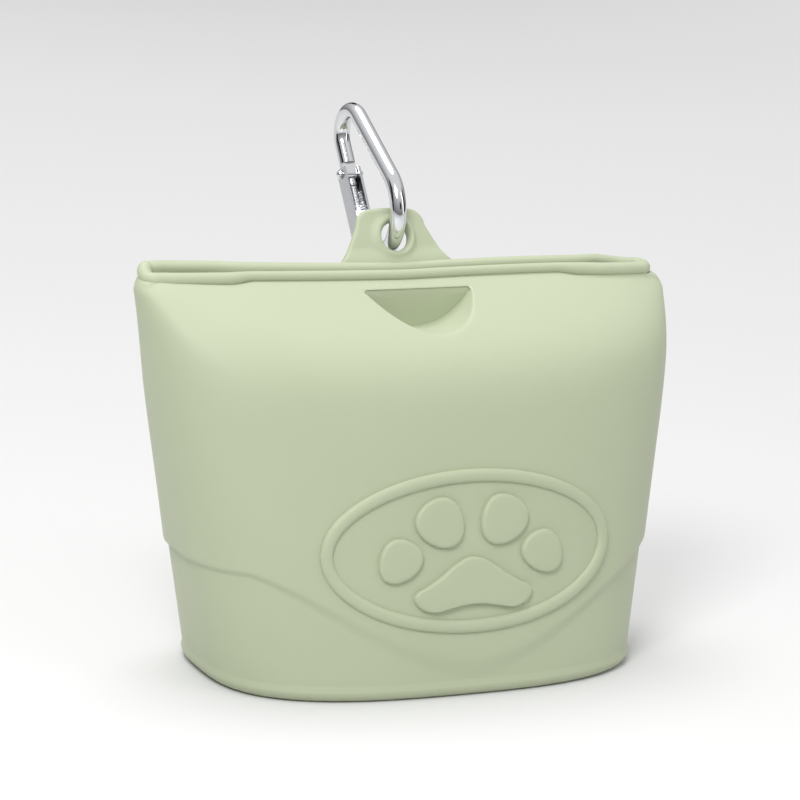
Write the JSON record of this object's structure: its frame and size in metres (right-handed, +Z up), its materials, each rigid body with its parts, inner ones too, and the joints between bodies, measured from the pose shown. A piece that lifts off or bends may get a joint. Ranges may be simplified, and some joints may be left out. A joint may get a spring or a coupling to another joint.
{
  "type": "treat pouch",
  "caption": "Soft moulded treat pouch with a magnetic straight mouth, thumb notch, raised paw emblem, and a snap hook through its hanging tab.",
  "frame": {"origin": "centre of the flat base, on the floor plane", "axes": "+X across the pouch's width, -Y out of the front wall, +Z up towards the mouth and the tab"},
  "size_m": [0.1504, 0.0955, 0.1347],
  "materials": {
    "silicone": "matte",
    "magnet": "satin",
    "chrome": "polished",
    "spring_steel": "satin"
  },
  "bodies": {
    "pouch": {"pouch_body": "silicone", "rear_rolled_lip": "silicone", "emblem_ring": "silicone", "main_paw_pad": "silicone", "outer_left_toe_pad": "silicone", "inner_left_toe_pad": "silicone", "inner_right_toe_pad": "silicone", "outer_right_toe_pad": "silicone", "rear_magnet_1": "magnet", "rear_magnet_2": "magnet", "rear_magnet_3": "magnet"},
    "front_lip": {"front_wall_panel": "silicone", "front_rolled_lip": "silicone", "front_magnet_1": "magnet", "front_magnet_2": "magnet", "front_magnet_3": "magnet"},
    "tab": {"hang_tab": "silicone"},
    "hook": {"hook_frame": "chrome", "gate_rivet": "chrome"},
    "gate": {"gate_channel": "chrome", "gate_spring": "spring_steel", "spring_plug": "spring_steel"}
  },
  "joints": [
    {"name": "mouth_open", "type": "hinge", "parent": "pouch", "child": "front_lip", "pos_m": [0, -0.01959, 0.0603], "axis": [1, 0, 0], "range_deg": [0, 35], "stiffness_Nm_per_rad": 0.4, "springref_deg": -2.86},
    {"name": "tab_flex", "type": "hinge", "parent": "pouch", "child": "tab", "pos_m": [0, 0.02335, 0.09937], "axis": [1, 0, 0], "range_deg": [-30, 45], "stiffness_Nm_per_rad": 0.15},
    {"name": "hook_swing", "type": "hinge", "parent": "tab", "child": "hook", "pos_m": [0, 0.02645, 0.10519], "axis": [0, -0.8829, 0.4695], "range_deg": [-80, 80]},
    {"name": "gate_open", "type": "hinge", "parent": "hook", "child": "gate", "pos_m": [0, 0.05475, 0.11557], "axis": [-1, 0, 0], "range_deg": [0, 28], "stiffness_Nm_per_rad": 0.02, "springref_deg": -17.19}
  ]
}
